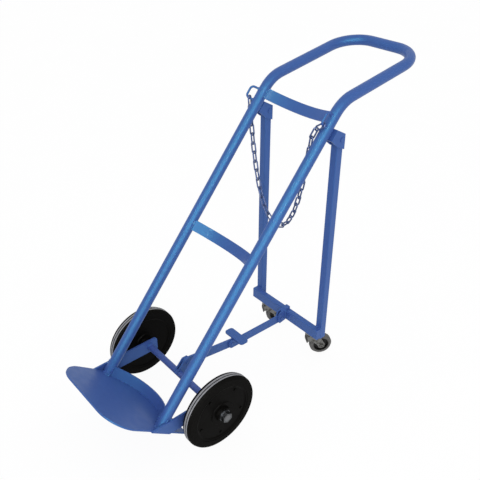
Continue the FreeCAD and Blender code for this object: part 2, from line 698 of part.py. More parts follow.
for end, start, place in (("front", front_lug_x, STAY_FRONT), ("rear", rear_lug_x, STAY_REAR)):
    keep(pivot_pin("Stay%sPin" % end.title(), "0", lug_outer), "stay_%s_pin" % end,
         level(start, place[0], place[1]))

# Castors: plate under the crossbar, fixed head with king pin, and a fork that trails the wheel behind it
CASTOR_TURN = Rotation(Vector(0, 0, 1), -size("castor_turn"))
fork_top = "( castor_diameter + fork_clearance + fork_sheet )"
fork_half = "( castor_tyre_width / 2 + fork_side_gap + fork_sheet )"
pin_hole = "( castor_pin_diameter / 2 + running_gap )"
core_radius = "( castor_diameter / 2 - castor_tyre_depth )"
castor_bore = "( castor_axle_diameter / 2 + running_gap )"
plate_back = "( leg_size / 2 + crossbar_depth )"
head_reach = size("castor_inset - leg_size / 2")
brake_y, brake_z = "( 0 - castor_trail * 0.36 )", "( castor_diameter * 0.925 )"
brake_corners = [
    ("0 - brake_reach * 0.4", "brake_thickness * 1.2"), ("brake_thickness * 0.6", "brake_thickness * 1.2"),
    ("brake_thickness", "0 - brake_thickness * 0.6"),
    ("0 - brake_thickness * 0.6", "0 - brake_thickness * 1.2"),
    ("0 - brake_reach * 0.3", "0 - brake_reach * 0.6"), ("0 - brake_reach * 0.33", "0 - brake_reach"),
    ("0 - brake_reach * 0.54", "0 - brake_reach"), ("0 - brake_reach * 0.6", "0 - brake_reach * 0.4"),
]
fork_corners = [
    ("0 - castor_trail * 0.6", "%s" % fork_top), ("castor_trail * 0.7", "%s" % fork_top),
    ("castor_trail * 1.4", "castor_diameter * 0.55"), ("castor_trail * 1.33", "castor_diameter * 0.4"),
    ("castor_trail", "castor_diameter * 0.34"), ("castor_trail * 0.67", "castor_diameter * 0.4"),
    ("castor_trail * 0.55", "castor_diameter * 0.55"), ("0 - castor_trail * 0.1", "castor_diameter * 0.8"),
    ("0 - castor_trail * 0.6", "castor_diameter * 0.8"),
]
tyre_edge = "castor_tyre_width / 2"
castor_tyre = [
    (tyre_edge, core_radius), (tyre_edge, "castor_diameter / 2 - castor_tyre_depth / 3"),
    ("castor_tyre_width / 4", "castor_diameter / 2"), ("-1 * castor_tyre_width / 4", "castor_diameter / 2"),
    ("-1 * " + tyre_edge, "castor_diameter / 2 - castor_tyre_depth / 3"), ("-1 * " + tyre_edge, core_radius),
]
core_edge = "castor_tyre_width / 2 - fork_sheet / 2"
hub_edge = "castor_tyre_width / 2 + fork_side_gap / 2"
castor_core = [
    (hub_edge, castor_bore), (hub_edge, "castor_axle_diameter"),
    ("castor_tyre_width / 6", "castor_axle_diameter * 1.3"),
    ("castor_tyre_width / 6", "%s - fork_sheet" % core_radius),
    (core_edge, "%s - fork_sheet" % core_radius), (core_edge, core_radius),
]
castor_core += [("-1 * ( %s )" % across, up) for across, up in reversed(castor_core)]

for side, sign in (("left", 1), ("right", -1)):
    name = side.title() + "Castor"
    swivel_x = sign * size("leg_spacing / 2 - castor_inset")
    swivel = level(swivel_x, LEG_Y, 0, CASTOR_TURN)

    plate = free_box(name + "Plate", "%f + castor_plate_size / 2" % head_reach,
                     "%s + castor_head_diameter / 2 - castor_plate_inset" % plate_back,
                     "castor_plate_thickness")
    plate_x = swivel_x - (size("castor_plate_size / 2") if sign > 0 else head_reach)
    keep(plate, side + "_castor_plate",
         level(plate_x, CROSSBAR_FRONT + size("castor_plate_inset"), LEG_FOOT))

    neck_foot = "( %s + side_gap )" % fork_top
    head = fuse(name + "Head",
                post(name + "Race", "castor_head_diameter / 2", "castor_head_diameter / 5", z=neck_foot),
                post(name + "Neck", "castor_head_diameter / 2 - fork_sheet",
                     "%f - %s" % (LEG_FOOT, neck_foot), z=neck_foot),
                post(name + "Pin", "castor_pin_diameter / 2", "%f - castor_diameter" % LEG_FOOT,
                     z="castor_diameter - fork_sheet"),
                post(name + "PinHead", "castor_pin_diameter * 0.8", "fork_sheet",
                     z="castor_diameter - fork_sheet + fork_clearance - side_gap"))
    keep(head, side + "_castor_head", swivel)

    legs = padded(name + "ForkLegs", "YZ_Plane", fork_corners, "2 * %s" % fork_half, both_ways=True)
    room = box(name + "ForkRoom", "2 * ( %s - fork_sheet )" % fork_half, "castor_trail * 3",
               "castor_diameter + fork_clearance", x="-1 * ( %s - fork_sheet )" % fork_half,
               y="-1 * castor_trail")
    king = post(name + "KingHole", pin_hole, "2 * fork_sheet", z="castor_diameter")
    bolt_hole = rod(name + "BoltHole", "castor_axle_diameter / 2 + seat_gap", "2 * %s" % fork_half,
                    x="-1 * %s" % fork_half, y="castor_trail", z="castor_diameter / 2")
    brake_hole = rod(name + "BrakeHole", "castor_axle_diameter / 4 + seat_gap", "2 * %s" % fork_half,
                     x="-1 * %s" % fork_half, y=brake_y, z=brake_z)
    keep(cut(name + "Fork", legs, room, king, bolt_hole, brake_hole), side + "_castor_fork", swivel)

    bolt = fuse(name + "AxleBolt",
                rod(name + "AxleShank", "castor_axle_diameter / 2", "2 * %s" % fork_half,
                    x="-1 * %s" % fork_half),
                hexagon(name + "AxleHead", "castor_axle_diameter * 1.6", "fork_sheet * 1.7", x=fork_half),
                hexagon(name + "AxleNut", "castor_axle_diameter * 1.6", "fork_sheet * 2",
                        x="-1 * %s - fork_sheet * 2" % fork_half))
    wheel_place = swivel * Placement(Vector(0, size("castor_trail"), size("castor_diameter / 2")), Rotation())
    keep(bolt, side + "_castor_axle_bolt", wheel_place)
    keep(revolved(name + "Core", castor_core), side + "_castor_wheel", wheel_place)
    keep(revolved(name + "Tyre", castor_tyre), side + "_castor_tyre", wheel_place)

    brake_half = "( castor_tyre_width / 2 + fork_side_gap - side_gap )"
    lever = padded(name + "Brake", "YZ_Plane", brake_corners, "2 * %s" % brake_half,
                   [("0", "0", "castor_axle_diameter / 2 + 2 * running_gap")], both_ways=True)
    brake_place = swivel * Placement(Vector(0, size(brake_y), size(brake_z)), Rotation())
    keep(lever, side + "_brake_pedal", brake_place)
    pin = rod(name + "BrakePin", "castor_axle_diameter / 4", "2 * %s" % fork_half, x="-1 * %s" % fork_half)
    keep(group(name + "BrakePinGroup", pin), side + "_brake_pin", brake_place)

# Chain eyes: bent rods on the tubes, the left one facing forward and the right one turned outward
EYE_TURNS = {"left": 10, "right": 70}
EYE_V = size("upright_length - eye_drop")
for side, sign in (("left", 1), ("right", -1)):
    low, high = -size("eye_span / 2"), size("eye_span / 2")
    start, reach = TUBE_RADIUS + size("seat_gap / 2"), size("eye_reach")
    eye_path = bent_path([Vector(0, -start, low), Vector(0, -reach, low), Vector(0, -reach, high),
                          Vector(0, -start, high)], [size("eye_corner")] * 2)
    eye = shaped(side.title() + "ChainEye", swept(eye_path, size("eye_rod / 2")))
    keep(eye, side + "_chain_eye",
         upright(sign * TUBE_X, 0, EYE_V, Rotation(Vector(0, 0, 1), sign * EYE_TURNS[side])))

# Chain: links of bent wire along a hanging curve, with end links laid round the front of the left tube
LINK_PITCH = size("chain_link_inside - chain_slack")
LINK_RADIUS = size("chain_link_gap / 2 + chain_wire / 2")
LINK_STRAIGHT = size("chain_link_inside - chain_link_gap")


def chain_link():
    """One closed link along X, lying flat in XY."""
    half = LINK_STRAIGHT / 2
    right, left = Vector(half, LINK_RADIUS, 0), Vector(-half, LINK_RADIUS, 0)
    low_right, low_left = Vector(half, -LINK_RADIUS, 0), Vector(-half, -LINK_RADIUS, 0)
    path = Part.Wire([Part.LineSegment(left, right).toShape(),
                      Part.Arc(right, Vector(half + LINK_RADIUS, 0, 0), low_right).toShape(),
                      Part.LineSegment(low_right, low_left).toShape(),
                      Part.Arc(low_left, Vector(-half - LINK_RADIUS, 0, 0), left).toShape()])
    return swept(path, size("chain_wire / 2"))


def placed_link(shape, start, end, flat):
    """A link from one joint of the chain to the next, with its flat side facing the given way."""
    along = (end - start).normalize()
    across = flat.cross(along).normalize()
    turn = Rotation(along, across, along.cross(across), "XYZ")
    return shape.transformed(Placement((start + end) / 2, turn).toMatrix(), True)


eye_low = -size("eye_span / 2")
hang_reach = size("eye_reach - eye_corner - chain_wire / 2")
eye_turn = math.radians(EYE_TURNS["right"])
eye_leg = upright(-TUBE_X - hang_reach * math.sin(eye_turn), -hang_reach * math.cos(eye_turn),
                  EYE_V + eye_low)
WRAP_RADIUS = TUBE_RADIUS + LINK_RADIUS + size("chain_wire / 2 + chain_slack")
WRAP_ANGLES = (-EYE_TURNS["left"], 34, 70, 104)


def wrap_joints():
    """Joints of the end links, which wind from the left eye round the tube down to its inner side."""
    joints = []
    last = None
    height = EYE_V + eye_low
    rod_room = size("( eye_rod + chain_slack ) / 2")
    for number, angle in enumerate(WRAP_ANGLES):
        radius = WRAP_RADIUS if number else hang_reach
        flat = Vector(-radius * math.sin(math.radians(angle)), -radius * math.cos(math.radians(angle)), 0)
        if last is not None:
            reach = LINK_PITCH if number > 1 else LINK_PITCH - rod_room
            height -= math.sqrt(reach ** 2 - (flat - last).Length ** 2)
        joints.append(upright(TUBE_X + flat.x, flat.y, height).Base)
        last = flat
    joints[0] = joints[1] + (joints[0] - joints[1]).normalize() * LINK_PITCH
    return joints


wrapped_joints = wrap_joints()
wrapped = []
eye_out = Vector(math.sin(math.radians(EYE_TURNS["left"])), -math.cos(math.radians(EYE_TURNS["left"])), 0)
facing = UPRIGHT_TURN.multVec(eye_out)
for start, end in zip(wrapped_joints, wrapped_joints[1:]):
    wrapped.append((start, end, facing))
    facing = (end - start).cross(facing).normalize()
hang_start = eye_leg.Base + Vector(0, 0, size("( eye_rod + chain_slack ) / 2"))
hang_end = wrapped_joints[-1]
span_vector = Vector(hang_end.x - hang_start.x, hang_end.y - hang_start.y, 0)
SPAN = span_vector.Length
RISE = hang_end.z - hang_start.z


def sag_shape(parameter):
    """Offset of the lowest point of a hanging curve that ends RISE higher after SPAN."""
    half_lift = math.asinh(RISE / (2 * parameter * math.sinh(SPAN / (2 * parameter))))
    return SPAN / 2 - parameter * half_lift


def drop_below_start(parameter):
    lowest = sag_shape(parameter)
    return parameter * (math.cosh(lowest / parameter) - 1)


low_parameter, high_parameter = SPAN / 40, SPAN * 4
for step in range(60):
    parameter = (low_parameter + high_parameter) / 2
    if drop_below_start(parameter) > size("chain_drop"):
        low_parameter = parameter
    else:
        high_parameter = parameter
lowest_at = sag_shape(parameter)
curve_length = parameter * (math.sinh((SPAN - lowest_at) / parameter) + math.sinh(lowest_at / parameter))
link_count = round(curve_length / LINK_PITCH)
joint_spacing = curve_length / link_count


def hang_point(index):
    """A joint of the hanging chain, by its count of links from the right eye."""
    distance = index * joint_spacing
    across = lowest_at + parameter * math.asinh(distance / parameter - math.sinh(lowest_at / parameter))
    height = parameter * (math.cosh((across - lowest_at) / parameter) - math.cosh(lowest_at / parameter))
    return hang_start + span_vector * (across / SPAN) + Vector(0, 0, height)


one_link = chain_link()
plane_normal = span_vector.cross(Vector(0, 0, 1)).normalize()
QUARTER_TURN = 90


def roll_of(along, facing):
    """The angle of a link's facing about the chain, from the normal of the plane it hangs in."""
    return math.degrees(math.atan2(facing.dot(along.cross(plane_normal)), facing.dot(plane_normal)))


hang_joints = [hang_point(index) for index in range(link_count + 1)]
rod_facing = (eye_leg.Base - upright(-TUBE_X, 0, EYE_V + eye_low).Base).normalize()
first_roll = roll_of((hang_joints[1] - hang_joints[0]).normalize(), rod_facing)
last_roll = roll_of((hang_joints[-1] - hang_joints[-2]).normalize(), facing)
turns = QUARTER_TURN * (link_count - 1)
twist = (last_roll - first_roll - turns + QUARTER_TURN) % (2 * QUARTER_TURN) - QUARTER_TURN
hanging = []
for index, (start, end) in enumerate(zip(hang_joints, hang_joints[1:])):
    along = (end - start).normalize()
    roll = math.radians(first_roll + QUARTER_TURN * index + twist * index / (link_count - 1))
    link_facing = plane_normal * math.cos(roll) + along.cross(plane_normal) * math.sin(roll)
    hanging.append(placed_link(one_link, start, end, link_facing))
keep(shaped("ChainLinks", Part.makeCompound(hanging)), "chain_links", Placement())
end_links = [placed_link(one_link, start, end, facing) for start, end, facing in wrapped]
keep(shaped("ChainEndLinks", Part.makeCompound(end_links)), "chain_end_links", Placement())

# Check every object, then write each sub-part
doc.recompute()
for feature in doc.Objects:
    if "Invalid" in feature.State or "Error" in feature.State:
        raise RuntimeError("%s failed to build" % feature.Label)
for feature in subparts:
    if feature.Shape.isNull() or not feature.Shape.isValid():
        raise RuntimeError("%s has no valid shape" % feature.Label)
os.makedirs("parts", exist_ok=True)
for feature in subparts:
    feature.Shape.exportStep("parts/%s.step" % feature.Label)
print("%d sub-parts, %d hanging links, chain curve %.1f" % (len(subparts), link_count, curve_length))
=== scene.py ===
"""A blue gas cylinder cart: paint, welds, rubber and steel on its fixed frame, in metres."""
import math

import bmesh
import bpy
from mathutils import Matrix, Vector


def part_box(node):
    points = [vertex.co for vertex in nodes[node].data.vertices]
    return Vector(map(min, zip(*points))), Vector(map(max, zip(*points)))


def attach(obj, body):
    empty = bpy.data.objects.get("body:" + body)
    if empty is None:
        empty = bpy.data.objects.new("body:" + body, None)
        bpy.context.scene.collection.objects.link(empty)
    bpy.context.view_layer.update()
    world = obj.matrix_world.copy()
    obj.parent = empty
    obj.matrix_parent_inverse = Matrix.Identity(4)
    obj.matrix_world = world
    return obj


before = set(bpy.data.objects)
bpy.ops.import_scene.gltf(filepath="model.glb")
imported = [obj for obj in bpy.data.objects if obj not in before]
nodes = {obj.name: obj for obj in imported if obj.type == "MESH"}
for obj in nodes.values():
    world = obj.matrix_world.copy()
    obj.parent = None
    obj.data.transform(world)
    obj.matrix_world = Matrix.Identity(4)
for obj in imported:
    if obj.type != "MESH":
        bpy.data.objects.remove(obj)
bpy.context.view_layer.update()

# Main frame: one steel pipe bent into both uprights and the handle, with a toe plate, three saddles,
# axle arms, hinge brackets and chain eyes welded on. It is powder coated blue, welds and all, and the
# coat shows a fine orange peel, a slow drift of tone and a few rubbed specks.
COAT_BLUE = (0.048, 0.092, 0.310, 1)
COAT_DEEP_BLUE = (0.046, 0.088, 0.297, 1)
COAT_RUBBED = (0.075, 0.140, 0.400, 1)
COAT_GLOSS = (0.05, 1.0, 1.0, 1)
COAT_PEEL = 0.0004
COAT_ROUGHNESS = 0.42
COAT_SMOOTHER = 0.05
COAT_ROUGHER = 0.07
RUB_FROM = 0.73
RUB_EDGE = 0.07
# The values between which a cloudy pattern mostly lies
CLOUDS_LOW = 0.3
CLOUDS_HIGH = 0.7
# Sockets of a colour mix, which share their names and so go by number
MIX_SHARE = 0
MIX_FIRST = 6
MIX_SECOND = 7
MIX_COLOUR = 2


def start_finish(name, **constants):
    """A node material whose even properties are set on its shader's own sockets."""
    finish = bpy.data.materials.new(name)
    finish.use_nodes = True
    shader = finish.node_tree.nodes["Principled BSDF"]
    for socket, value in constants.items():
        shader.inputs[socket.replace("_", " ")].default_value = value
    return finish, shader


def feed(finish, node, socket, value):
    """Let another node's output drive a socket."""
    finish.node_tree.links.new(value, node.inputs[socket])


def add_node(finish, kind, inputs, **settings):
    """A node of the finish, with each input set to a value or fed from another node's output."""
    node = finish.node_tree.nodes.new(kind)
    for setting, value in settings.items():
        setattr(node, setting, value)
    for socket, value in inputs.items():
        if isinstance(value, bpy.types.NodeSocket):
            feed(finish, node, socket, value)
        else:
            node.inputs[socket].default_value = value
    return node


def place_on(finish):
    """Where a point of the surface is, in the cart's own frame."""
    return add_node(finish, "ShaderNodeTexCoord", {}).outputs["Object"]


def grain(finish, place, clouds, detail=2.0, rough=0.5):
    """A cloudy pattern of about that many clouds to the metre."""
    noise = add_node(finish, "ShaderNodeTexNoise",
                     {"Vector": place, "Scale": clouds, "Detail": detail, "Roughness": rough})
    return noise.outputs["Fac"]


def spread(finish, value, low, high, to_low=0.0, to_high=1.0):
    """The value stretched from one range to another, held at its ends."""
    node = add_node(finish, "ShaderNodeMapRange", {"Value": value, "From Min": low, "From Max": high,
                                                   "To Min": to_low, "To Max": to_high})
    return node.outputs["Result"]


def patches(finish, place, clouds, detail, rough, start, full):
    """Patches of a cloudy pattern, which rise from nothing to whole between two of its values."""
    return spread(finish, grain(finish, place, clouds, detail, rough), start, full)


def between(finish, share, first, second):
    """A colour from the first to the second as the share goes from 0 to 1."""
    node = add_node(finish, "ShaderNodeMix",
                    {MIX_SHARE: share, MIX_FIRST: first, MIX_SECOND: second}, data_type="RGBA")
    return node.outputs[MIX_COLOUR]


def uneven_gloss(finish, shader, place, clouds, smooth, rough):
    """A gloss that drifts from smooth to rough, in about that many clouds to the metre."""
    drift = grain(finish, place, clouds, detail=4)
    feed(finish, shader, "Roughness", spread(finish, drift, CLOUDS_LOW, CLOUDS_HIGH, smooth, rough))


def emboss(finish, shader, height, strength, depth):
    """Raise and sink the surface by a pattern, up to a depth in metres."""
    bump = add_node(finish, "ShaderNodeBump",
                    {"Height": height, "Strength": strength, "Distance": depth})
    feed(finish, shader, "Normal", bump.outputs["Normal"])


def dress(finish, *names):
    """Give CAD nodes a finish."""
    for name in names:
        nodes[name].material_slots[0].material = finish


def powder_coat(name, peel, roughness, gloss=COAT_GLOSS, rub_and_glint_colour=COAT_RUBBED, rub_and_glint_from=RUB_FROM):
    """Blue powder coat, with its orange peel, specks of a second colour, which are rubs on the pipes
    and painted glints on the welds, and a gloss that leans to cyan.
    """
    coat, shader = start_finish(name, Specular_Tint=gloss, Specular_IOR_Level=0.25,
                                Coat_Weight=0.04, Coat_Roughness=0.14)
    place = place_on(coat)
    drift = patches(coat, place, clouds=5, detail=3, rough=0.5, start=0.35, full=0.65)
    tone = between(coat, drift, COAT_DEEP_BLUE, COAT_BLUE)
    rubs_and_glints = patches(coat, place, clouds=140, detail=6, rough=0.7,
                   start=rub_and_glint_from, full=rub_and_glint_from + RUB_EDGE)
    feed(coat, shader, "Base Color", between(coat, rubs_and_glints, tone, rub_and_glint_colour))
    uneven_gloss(coat, shader, place, clouds=40,
                 smooth=roughness - COAT_SMOOTHER, rough=roughness + COAT_ROUGHER)
    emboss(coat, shader, grain(coat, place, clouds=420), strength=0.015, depth=peel)
    return coat


blue_coat = powder_coat("blue_powder_coat", COAT_PEEL, COAT_ROUGHNESS)
dress(blue_coat, "main_frame_tube", "toe_plate", "lower_saddle", "middle_saddle", "upper_saddle",
      "left_axle_arm", "right_axle_arm", "left_hinge_bracket", "right_hinge_bracket",
      "left_chain_eye", "right_chain_eye")

# Axle: a round bar coated with the frame between its arms, and left as oiled turned steel from there
# out, where the wheels and nuts go on.
TURNED_STEEL = (0.14, 0.143, 0.15, 1)
PLAIN_GLOSS = (1, 1, 1, 1)
BARE_FROM = 0.177
BARE_EDGE = 0.0005


def unsigned(finish, value):
    """The value without its sign."""
    return add_node(finish, "ShaderNodeMath", {0: value}, operation="ABSOLUTE").outputs[0]


def off_centre(finish, place):
    """How far to either side of the cart's middle a point is."""
    return unsigned(finish, add_node(finish, "ShaderNodeSeparateXYZ", {"Vector": place}).outputs["X"])


axle_coat = powder_coat("coated_axle_bar", COAT_PEEL, COAT_ROUGHNESS, gloss=PLAIN_GLOSS)
axle_shader = axle_coat.node_tree.nodes["Principled BSDF"]
bare = spread(axle_coat, off_centre(axle_coat, place_on(axle_coat)), BARE_FROM, BARE_FROM + BARE_EDGE)
coat_tone = axle_shader.inputs["Base Color"].links[0].from_socket
feed(axle_coat, axle_shader, "Base Color", between(axle_coat, bare, coat_tone, TURNED_STEEL))
feed(axle_coat, axle_shader, "Metallic", bare)
dress(axle_coat, "axle")

# Welds of the main frame: fillet welds laid by hand where plates, bars and rods meet the pipe, under
# the coat. Their coat carries painted glints: bright blue specks, thicker than the pipes' rubs, that
# stand for light catching the ripples. Each is a rod or a ring that is necked in between its ripples
# and half sunk in the joint.
LEAN = math.radians(39.7)
AXLE_SETBACK = 0.134
AXLE_HEIGHT = 0.116
TUBE_RADIUS = 0.01685
TOE_THICKNESS = 0.005
SADDLE_WIDTH = 0.034
SADDLE_LOW_EDGES = {"lower": 0.005, "middle": 0.541, "upper": 1.008}
SADDLE_WELD_SIDES = {"lower": 0.0053, "middle": 0.0034, "upper": 0.0029}
ARM_WELD_HEIGHTS = (0.008, 0.046)
ARM_WELD_SIDE = 0.0062
BRACKET_WELD_HEIGHTS = (0.968, 1.001)
BRACKET_WELD_SIDE = 0.0075
BRACKET_WELD_SINK = 0.001
EYE_TURNS = {"left": math.radians(10), "right": math.radians(70)}
EYE_FEET = {"low": 0.991, "high": 1.029}
EYE_ROD_RADIUS = 0.0035
WELD_RIPPLE = 0.0042
WELD_BEAD = 0.0056
WELD_SIDES = 10
WELD_LEAST_RIPPLES = 2
WELD_NECK = 0.11
WELD_TIP = 0.5
# Painted glint: the bright blue of the specks scattered over the weld coat
COAT_PAINTED_GLINT = (0.22, 0.42, 0.70, 1)
axle_low, axle_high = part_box("axle")
axle_centre = (axle_low + axle_high) / 2
axle_radius = (axle_high.z - axle_low.z) / 2
along_the_axle = Vector((1, 0, 0))
tube_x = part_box("main_frame_tube")[1].x - TUBE_RADIUS
weld_coat = powder_coat("weld_under_coat", peel=0.0007, roughness=0.24,
                        rub_and_glint_colour=COAT_PAINTED_GLINT, rub_and_glint_from=0.58)


def upright_point(x, back, up):
    """A point on the leaning frame, back from the pipes and up from the toe plate's underside."""
    level_back = back - AXLE_SETBACK
    level_up = up - AXLE_HEIGHT
    return Vector((x, axle_centre.y + level_back * math.cos(LEAN) + level_up * math.sin(LEAN),
                   axle_centre.z - level_back * math.sin(LEAN) + level_up * math.cos(LEAN)))


up_the_pipe = upright_point(0, 0, 1) - upright_point(0, 0, 0)


def pick(piece, wanted):
    """Select the points of a piece, in edit mode, whose place passes the test."""
    shape = bmesh.from_edit_mesh(piece.data)
    bpy.ops.mesh.select_mode(type="VERT")
    for point in shape.verts:
        point.select_set(wanted(point.co))
    shape.select_flush_mode()
    bmesh.update_edit_mesh(piece.data)


def fix(piece, name, body, finish):
    """Name a modelled piece, sink its place into its mesh, finish it and fix it to its body."""
    piece.name = name
    piece.data.name = name
    bpy.ops.object.transform_apply(location=True, rotation=True, scale=True)
    bpy.ops.object.shade_smooth()
    piece.data.materials.append(finish)
    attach(piece, body)


def neck_in(piece, narrow):
    """Draw a weld in between its ripples."""
    pick(piece, narrow)
    bpy.ops.transform.shrink_fatten(value=-WELD_BEAD * WELD_NECK)
    bpy.ops.object.mode_set(mode="OBJECT")


def weld_run(name, body, start, end):
    """A straight run of weld between two points, narrower at its ends."""
    run = end - start
    steps = 2 * max(WELD_LEAST_RIPPLES, round(run.length / WELD_RIPPLE))
    bpy.ops.object.select_all(action="DESELECT")
    bpy.ops.mesh.primitive_cylinder_add(vertices=WELD_SIDES, radius=WELD_BEAD / 2, depth=run.length)
    weld = bpy.context.object
    bpy.ops.object.mode_set(mode="EDIT")
    bpy.ops.mesh.select_mode(type="EDGE")
    shape = bmesh.from_edit_mesh(weld.data)
    for edge in shape.edges:
        edge.select_set(abs(edge.verts[0].co.z - edge.verts[1].co.z) > run.length / 2)
    bmesh.update_edit_mesh(weld.data)
    bpy.ops.mesh.subdivide(number_cuts=steps - 1)
    end_reach = WELD_RIPPLE / 8
    pick(weld, lambda place: abs(abs(place.z) - run.length / 2) < end_reach)
    bpy.ops.transform.resize(value=(WELD_TIP, WELD_TIP, 1))
    neck_in(weld, lambda place: round((place.z / run.length + 0.5) * steps) % 2 == 1)
    weld.location = (start + end) / 2
    weld.rotation_euler = run.to_track_quat("Z", "Y").to_euler()
    fix(weld, name, body, weld_coat)


def weld_up(name, x, back, heights):
    """A run of weld up the leaning frame, between two heights."""
    weld_run(name, "frame", upright_point(x, back, heights[0]), upright_point(x, back, heights[1]))


def weld_ring(name, body, centre, axis, radius):
    """A weld all round a pipe or a bar."""
    ripples = 2 * round(math.pi * radius / WELD_RIPPLE)
    steps = 2 * ripples
    bpy.ops.object.select_all(action="DESELECT")
    bpy.ops.mesh.primitive_torus_add(major_segments=steps, minor_segments=WELD_SIDES,
                                     major_radius=radius, minor_radius=WELD_BEAD / 2)
    weld = bpy.context.object
    bpy.ops.object.mode_set(mode="EDIT")
    neck_in(weld, lambda place: round(math.atan2(place.y, place.x) / math.tau * steps) % 2 == 1)
    weld.location = centre
    weld.rotation_euler = axis.to_track_quat("Z", "Y").to_euler()
    fix(weld, name, body, weld_coat)


for side, sign in (("left", 1), ("right", -1)):
    pipe_x = sign * tube_x
    inner_x = sign * (tube_x - TUBE_RADIUS)
    outer_x = sign * (tube_x + TUBE_RADIUS)
    pipe_foot = upright_point(pipe_x, 0, TOE_THICKNESS)
    weld_ring(side + "_foot_weld", "frame", pipe_foot, up_the_pipe, TUBE_RADIUS)
    for saddle, low in SADDLE_LOW_EDGES.items():
        weld_side = SADDLE_WELD_SIDES[saddle]
        for face, back in (("front", -weld_side), ("back", weld_side)):
            weld_up("%s_%s_saddle_%s_weld" % (side, saddle, face), inner_x, back,
                    (low, low + SADDLE_WIDTH))
    for face, back in (("front", -ARM_WELD_SIDE), ("back", ARM_WELD_SIDE)):
        weld_up("%s_arm_%s_weld" % (side, face), outer_x, back, ARM_WELD_HEIGHTS)
    arm_on_axle = Vector((outer_x, axle_centre.y, axle_centre.z))
    weld_ring(side + "_axle_weld", "frame", arm_on_axle, along_the_axle, axle_radius)
    for face, across in (("inner", -BRACKET_WELD_SIDE), ("outer", BRACKET_WELD_SIDE)):
        weld_up("%s_bracket_%s_weld" % (side, face), pipe_x + across,
                TUBE_RADIUS - BRACKET_WELD_SINK, BRACKET_WELD_HEIGHTS)
    eye_out = sign * math.sin(EYE_TURNS[side])
    eye_back = -math.cos(EYE_TURNS[side])
    for foot, height in EYE_FEET.items():
        weld_ring("%s_eye_%s_weld" % (side, foot), "frame",
                  upright_point(pipe_x + eye_out * TUBE_RADIUS, eye_back * TUBE_RADIUS, height),
                  upright_point(eye_out, eye_back, height) - upright_point(0, 0, height),
                  EYE_ROD_RADIUS)

# Folding support: square tube legs that hang from riveted pins in the hinge brackets, joined by a
# rectangular crossbar and held out by a two-piece flat bar stay with a foot pedal. The stay's lugs
# are welded to axle and crossbar, the castor plates to the legs, and all is coated as the frame is.
LUG_FRONT_ANGLE = math.radians(164)
LUG_BACK_ANGLE = math.radians(-28)
dress(blue_coat, "left_leg", "right_leg", "crossbar", "crossbar_caps", "front_link", "rear_link",
      "foot_pedal", "stay_front_lug", "stay_rear_lug", "left_castor_plate", "right_castor_plate")
crossbar_low, crossbar_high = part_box("crossbar")
for side in ("left", "right"):
    leg_low, leg_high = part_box(side + "_leg")
    leg_inner = leg_low.x if side == "left" else leg_high.x
    for edge, height in (("upper", crossbar_high.z), ("lower", crossbar_low.z)):
        weld_run("%s_crossbar_%s_weld" % (side, edge), "support",
                 Vector((leg_low.x, leg_low.y, height)), Vector((leg_high.x, leg_low.y, height)))
    weld_run(side + "_castor_plate_weld", "support",
             Vector((leg_inner, leg_low.y, leg_low.z)), Vector((leg_inner, leg_high.y, leg_low.z)))
lug_low, lug_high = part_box("stay_front_lug")
for face, angle in (("front", LUG_FRONT_ANGLE), ("back", LUG_BACK_ANGLE)):
    weld_y = axle_centre.y + axle_radius * math.cos(angle)
    weld_z = axle_centre.z + axle_radius * math.sin(angle)
    weld_run(face + "_stay_lug_weld", "frame",
             Vector((lug_low.x, weld_y, weld_z)), Vector((lug_high.x, weld_y, weld_z)))
rear_lug_low, rear_lug_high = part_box("stay_rear_lug")
for side, lug_x in (("left", rear_lug_high.x), ("right", rear_lug_low.x)):
    weld_run(side + "_crossbar_lug_weld", "support",
             Vector((lug_x, crossbar_low.y, crossbar_low.z + WELD_BEAD)),
             Vector((lug_x, crossbar_low.y, crossbar_high.z)))

# Pins of the stay and the hinges: steel pins riveted over at both ends and coated with the frame, so
# that the hammered heads show through the coat.
pin_coat = powder_coat("coated_rivet_pin", peel=0.0012, roughness=0.36)
dress(pin_coat, "stay_front_pin", "stay_rear_pin", "knee_pin_front", "knee_pin_rear",
      "left_hinge_pin", "right_hinge_pin")

# Pivot and hub bushes: pale nylon sleeves, pressed into the legs' pivots and the wheels' hubs so that
# steel never turns on steel.
NYLON = (0.60, 0.58, 0.52, 1)
NYLON_SHADE = (0.46, 0.44, 0.39, 1)
nylon, nylon_shader = start_finish("nylon_bush", Roughness=0.45, IOR=1.53)
nylon_place = place_on(nylon)
nylon_tone = grain(nylon, nylon_place, clouds=160, detail=3)
feed(nylon, nylon_shader, "Base Color", between(nylon, nylon_tone, NYLON_SHADE, NYLON))
emboss(nylon, nylon_shader, grain(nylon, nylon_place, clouds=1500), strength=0.2, depth=0.0002)
dress(nylon, "left_pivot_bush", "right_pivot_bush", "left_hub_bush", "right_hub_bush")

# Wheel discs: deep black polypropylene mouldings, almost without gloss, with fine turning marks round
# the hub, a few light scuffs and a circle of black rivets.
DISC_BLACK = (0.0026, 0.0024, 0.0021, 1)
DISC_SCUFF = (0.016, 0.015, 0.014, 1)
TURNING_SCALE = 160
TURNING_WAVER = 0.4


def from_axle(finish, place):
    """The place as measured from the axle's middle."""
    moved = add_node(finish, "ShaderNodeMapping", {"Vector": place, "Location": -axle_centre})
    return moved.outputs["Vector"]


def combine(finish, operation, first, second):
    """Two values combined by a sum, a product, a difference or the like."""
    return add_node(finish, "ShaderNodeMath", {0: first, 1: second}, operation=operation).outputs[0]


